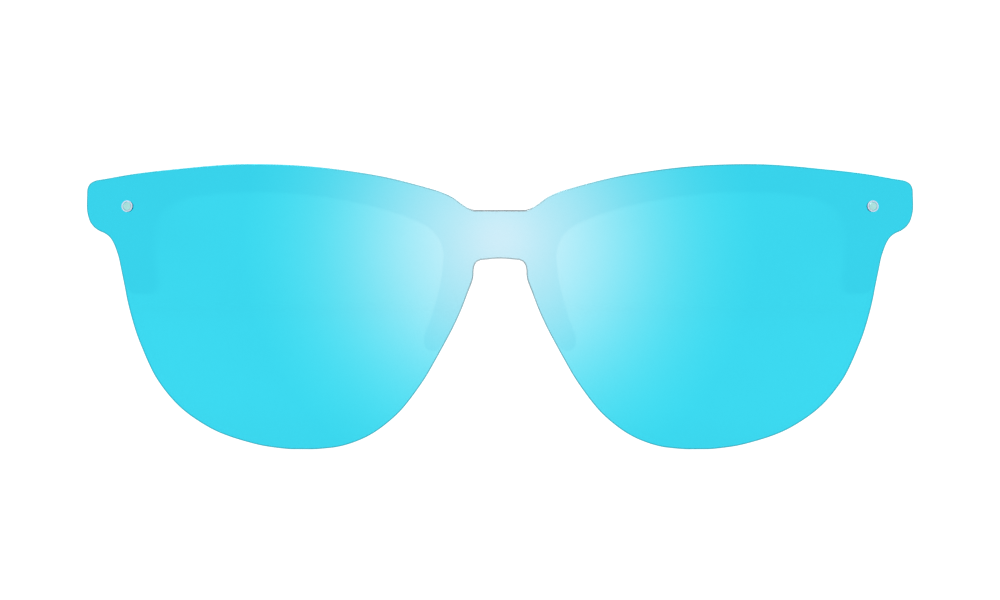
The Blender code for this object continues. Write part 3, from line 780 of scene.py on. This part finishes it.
def along(values, t):
    """A smooth curve through the values at t = 0, 1, 2 and so on."""
    i = min(int(t), len(values) - 2)
    t -= i
    p0, p1, p2, p3 = (values[min(max(i + k, 0), len(values) - 1)] for k in (-1, 0, 1, 2))
    linear = p2 - p0
    square = 2 * p0 - 5 * p1 + 4 * p2 - p3
    cube = 3 * p1 - 3 * p2 + p3 - p0
    return p1 + (linear + (square + cube * t) * t) * (t / 2)


def pad_point(t, depth):
    x, z = along(PAD_SPINE, t)
    return Vector((x, sphere_y(x, z, depth), z))


def peg_ends(place):
    """A peg's root in the pad, and its end in the frame."""
    root = pad_point(place, FRAME_BACK + FIT_GAP)
    end = root.copy()
    end.y = pad_point(place, FRAME_BACK + FIT_GAP - PEG_LENGTH).y
    return root, end


def loft(name, rings):
    """A closed body through rings of equally many points, capped at both ends."""
    bm = bmesh.new()
    loops = [[bm.verts.new(point) for point in ring] for ring in rings]
    for near, far in zip(loops, loops[1:]):
        for i in range(len(near)):
            j = (i + 1) % len(near)
            bm.faces.new((near[i], near[j], far[j], far[i]))
    bm.faces.new(loops[0])
    bm.faces.new(loops[-1])
    return from_bmesh(name, bm)


def make_pad(name):
    last = len(PAD_SPINE) - 1
    rings = []
    for i in range(PAD_SECTIONS + 1):
        t = last * (1 - math.cos(math.pi * i / PAD_SECTIONS)) / 2
        from_end = min(t, last - t)
        rounding = math.sqrt(max(1 - (1 - min(from_end / PAD_END, 1)) ** 2, PAD_TIP_SHARE))
        base = pad_point(t, FRAME_BACK + FIT_GAP)
        half_width = along(PAD_HALF_WIDTH, t) * rounding
        height = along(PAD_HEIGHT, t) * rounding
        ring = []
        for step in range(PAD_ARC_STEPS + 1):
            angle = math.pi * step / PAD_ARC_STEPS
            ring.append(base + Vector((half_width * math.cos(angle), height * math.sin(angle), 0)))
        rings.append(ring)
    pad = bake(round_edges(loft(name, rings), PAD_ROUNDING, angle=60.0))
    for root, end in map(peg_ends, PEG_PLACES):
        combine(pad, rod(PEG_RADIUS, end, root + (root - end)), "UNION")
    return dress(pad, silicone)


# Temples: a moulded arm with a hinge pocket, and a soft tip over its tang. Places along a temple are lengths
# from ARM_START on its centre line, and a section's half sizes are its half-width and half-height.

HINGE = Vector(next(joint["pos_m"] for joint in frame["joints"] if joint["name"] == "fold_left")) / MM
ARM_START = HINGE + Vector((4.2, -1.3, 0))
ARM_SLOPE = math.radians(4.0)
ARM_SLOPE_OVER = (6.0, 18.0)
EAR_ANGLE = math.radians(45.0)
EAR_BEND_OVER = (86.0, 108.0)
INWARD_FROM = 28.0  # the temple turns in from here on, by INWARD_AT_TIP at its end
INWARD_AT_TIP = 12.5
TEMPLE_LENGTH = 147.0
ARM_END = 93.0
TANG_END = 128.0
ARM_HALF_START = (2.35, 3.2)
ARM_HALF_END = (1.7, 2.35)
TANG_HALF = (1.2, 1.6)
SOCKET_HALF = (1.45, 1.85)
TIP_HALF_START = (2.15, 2.7)
TIP_HALF_END = (2.1, 3.3)
TIP_CROWN = 3.0
CROWN_STEPS = 12
PATH_STEP = 0.25
SECTION_STEP = 1.25
CORNER_SHARE = 0.55  # of a section's half-width
NEARLY_ROUND = 0.98
CORNER_STEPS = 7
TEMPLE_ROUNDING = 0.4
POCKET_DEPTH = 0.5
POCKET_END_Y = HINGE.y + 13.0
POCKET_HALF_HEIGHT = 1.8
RIVET_Y = (HINGE.y + 5.2, HINGE.y + 10.2)
RIVET_HOLE_RADIUS = 0.6
RIVET_REACH = 3.2
WIRE_START = 20.0
WIRE_CHANNEL_RADIUS = 0.75
CHANNEL_OVERRUN = 3.0  # past the tang's end, so that the channel is open there
GROUND_BLOCK = 200.0  # the tip's end is cut flat where it rests on the ground


def temple_path():
    """Points along the left temple's centre line, PATH_STEP apart, with the slope at each."""
    points = []
    y, z = ARM_START.y, ARM_START.z
    for i in range(round(TEMPLE_LENGTH / PATH_STEP) + 1):
        s = i * PATH_STEP
        slope = ARM_SLOPE * ramp(s, *ARM_SLOPE_OVER)
        slope += (EAR_ANGLE - ARM_SLOPE) * ramp(s, *EAR_BEND_OVER)
        x = ARM_START.x - INWARD_AT_TIP * ramp(s, INWARD_FROM, TEMPLE_LENGTH) ** 2
        points.append((Vector((x, y, z)), slope))
        y += PATH_STEP * math.cos(slope)
        z -= PATH_STEP * math.sin(slope)
    return points


TEMPLE_PATH = temple_path()


def section(s, half_size, corner_share=CORNER_SHARE):
    """A ring round the temple's centre line: a rectangle with rounded corners."""
    i, part = divmod(s / PATH_STEP, 1)
    here = TEMPLE_PATH[min(int(i), len(TEMPLE_PATH) - 1)]
    there = TEMPLE_PATH[min(int(i) + 1, len(TEMPLE_PATH) - 1)]
    centre = here[0].lerp(there[0], part)
    slope = here[1] + (there[1] - here[1]) * part
    up = Vector((0, math.sin(slope), math.cos(slope)))
    half_width, half_height = half_size
    corner = corner_share * half_width
    ring = []
    for quarter, (side_x, side_z) in enumerate([(1, 1), (-1, 1), (-1, -1), (1, -1)]):
        for step in range(CORNER_STEPS + 1):
            angle = math.radians(90) * (quarter + step / CORNER_STEPS)
            x = side_x * (half_width - corner) + corner * math.cos(angle)
            z = side_z * (half_height - corner) + corner * math.sin(angle)
            ring.append(centre + Vector((x, 0, 0)) + up * z)
    return ring


def sections(start, end, half_start, half_end, **options):
    """Rings from start to end whose size changes evenly."""
    count = max(1, round((end - start) / SECTION_STEP))
    rings = []
    for i in range(count + 1):
        share = i / count
        half = [a + (b - a) * share for a, b in zip(half_start, half_end)]
        rings.append(section(start + (end - start) * share, half, **options))
    return rings


def rounded_loft(name, rings):
    return bake(round_edges(loft(name, rings), TEMPLE_ROUNDING, segments=4, angle=50.0))


def make_arm(name):
    rings = sections(0.0, ARM_END, ARM_HALF_START, ARM_HALF_END)
    rings += sections(ARM_END, TANG_END, TANG_HALF, TANG_HALF)
    arm = rounded_loft(name, rings)
    inner = ARM_START.x - ARM_HALF_START[0]
    outside = inner - CLEARANCE
    low = (outside, ARM_START.y - CLEARANCE, HINGE.z - POCKET_HALF_HEIGHT)
    pocket = box(low, (inner + POCKET_DEPTH, POCKET_END_Y + FIT_GAP, HINGE.z + POCKET_HALF_HEIGHT))
    channel_half = (WIRE_CHANNEL_RADIUS, WIRE_CHANNEL_RADIUS)
    channel_rings = sections(
        WIRE_START - FIT_GAP, TANG_END + CHANNEL_OVERRUN, channel_half, channel_half,
        corner_share=NEARLY_ROUND,
    )
    cut(arm, pocket, loft("channel", channel_rings))
    for y in RIVET_Y:
        cut(arm, rod(RIVET_HOLE_RADIUS, (outside, y, HINGE.z), (inner + RIVET_REACH, y, HINGE.z)))
    return dress_again(arm, temple_plastic)


def make_tip(name):
    start = ARM_END + FIT_GAP
    body_end = TEMPLE_LENGTH - TIP_CROWN
    rings = sections(start, body_end, TIP_HALF_START, TIP_HALF_END)
    for step in range(1, CROWN_STEPS):
        angle = math.radians(90) * step / CROWN_STEPS
        half = [size * math.cos(angle) for size in TIP_HALF_END]
        rings.append(section(body_end + TIP_CROWN * math.sin(angle), half))
    tip = rounded_loft(name, rings)
    socket_rings = sections(start - CLEARANCE, TANG_END + 2 * FIT_GAP, SOCKET_HALF, SOCKET_HALF)
    socket = loft("socket", socket_rings)
    ground = box((0, 0, -GROUND_BLOCK), (GROUND_BLOCK, GROUND_BLOCK, 0))
    cut(tip, socket, ground)
    return dress_again(tip, soft_rubber)


def show(piece, body, slot, *nodes):
    """A new piece in place of these CAD nodes."""
    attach(piece, body)
    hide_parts(*nodes)


def show_pair(make, kind, node, body, slot):
    """The left piece and its mirror image, on the bodies and in place of the nodes of their sides."""
    left = make(f"{kind}_left")
    right = mirrored_mesh(left, f"{kind}_right")
    for side, piece in zip(SIDES, (left, right)):
        show(even_normals(piece), body.format(side), slot, f"{node}_{side}")


def refine(node, material, rounding):
    """Rounds a CAD node's edges and gives it the material."""
    obj = frame["nodes"][node]
    obj.data.materials[0] = material
    weld = obj.modifiers.new("weld", "WELD")
    weld.merge_threshold = WELD_WITHIN * MM
    round_edges(obj, rounding, segments=2, angle=35.0)
    even_normals(obj)


show(make_lens(), "front", "mirrored_lens", "shield_lens")
show(even_normals(make_frame()), "front", "frame_plastic", "front_frame")
show_pair(make_pad, "silicone_pad", "nose_pad", "front", "soft_pad")
show_pair(make_arm, "moulded_arm", "temple_arm", "temple_{}", "temple_plastic")
show_pair(make_tip, "rubber_tip", "temple_tip", "temple_{}", "soft_tip")

HARDWARE = {
    "lens_pin": (pin_steel, 0.06),
    "pin_sleeve": (nylon, 0.05),
    "pin_nut": (steel, 0.08),
    "front_hinge": (hinge_steel, 0.10),
    "hinge_foot_screw": (steel, 0.05),
    "hinge_screw": (steel, 0.07),
    "temple_hinge": (hinge_steel, 0.10),
    "temple_rivet_front": (steel, 0.06),
    "temple_rivet_rear": (steel, 0.06),
    "core_wire": (wire_steel, 0.05),
}
for kind, (material, rounding) in HARDWARE.items():
    for side in SIDES:
        refine(f"{kind}_{side}", material, rounding)


# Stage, light and camera

FLOOR_HALF_SIZE = 6.0
FLOOR_GAP = 0.1 * MM
FLOOR_GLOW = 1.08  # a lit sweep: with the studio's light on it, it looks as bright as the surroundings
FLOOR_GREYS = ((0.08, 0.08, 0.08, 1.0), (0.09, 0.09, 0.09, 1.0))
FLOOR_PATCHES = 900.0
SOFTBOX_SIZE = (1.2, 0.8)
SOFTBOX_POWER = 14.0
CAMERA_TO_LENS = 0.8
SENSOR_WIDTH = 36.0
VIEW_WIDTH = 174.3 * MM  # at the lens's outer ends
VIEW_MID_Z = 25.8 * MM


def make_floor():
    bm = bmesh.new()
    bmesh.ops.create_grid(bm, x_segments=8, y_segments=8, size=FLOOR_HALF_SIZE / MM)
    floor = from_bmesh("floor", bm)
    floor.location.z = -FLOOR_GAP
    nodes = Nodes("pale_floor")
    patches = nodes.noise(FLOOR_PATCHES, detail=1)
    nodes.put(nodes.shader.inputs["Base Color"], nodes.mix(patches, *FLOOR_GREYS))
    nodes.shader.inputs["Roughness"].default_value = 1.0
    nodes.shader.inputs["Specular IOR Level"].default_value = 0.0
    nodes.shader.inputs["Emission Color"].default_value = (1, 1, 1, 1)
    nodes.shader.inputs["Emission Strength"].default_value = FLOOR_GLOW
    floor.data.materials.append(nodes.material)


def make_world():
    world = bpy.data.worlds.new("studio")
    world.use_nodes = True
    background = world.node_tree.nodes["Background"]
    background.inputs["Color"].default_value = (1, 1, 1, 1)
    background.inputs["Strength"].default_value = STUDIO_LEVEL
    bpy.context.scene.world = world


def make_light(name, place):
    """A softbox that faces the glasses."""
    data = bpy.data.lights.new(name, "AREA")
    data.shape = "RECTANGLE"
    data.size, data.size_y = SOFTBOX_SIZE
    data.energy = SOFTBOX_POWER
    light = bpy.data.objects.new(name, data)
    bpy.context.scene.collection.objects.link(light)
    light.location = place
    light.rotation_euler = (-Vector(place)).to_track_quat("-Z", "Y").to_euler()
    light.visible_camera = False


def make_camera():
    data = bpy.data.cameras.new("camera")
    camera = bpy.data.objects.new("camera", data)
    bpy.context.scene.collection.objects.link(camera)
    lens_low, lens_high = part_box("shield_lens")
    camera.location = (0, lens_low.y - CAMERA_TO_LENS, VIEW_MID_Z)
    camera.rotation_euler = (math.radians(90), 0, 0)
    ends_y = sphere_y(lens_high.x / MM, PIN.z) * MM
    data.sensor_width = SENSOR_WIDTH
    data.lens = SENSOR_WIDTH * (ends_y - camera.location.y) / VIEW_WIDTH
    data.clip_start = 0.01
    data.clip_end = 100.0
    bpy.context.scene.camera = camera


make_floor()
make_world()
make_light("softbox_front", (-0.7, -0.9, 2.2))
make_light("softbox_back", (0.9, 1.3, 2.0))
make_camera()
bpy.context.scene.view_settings.view_transform = "Standard"
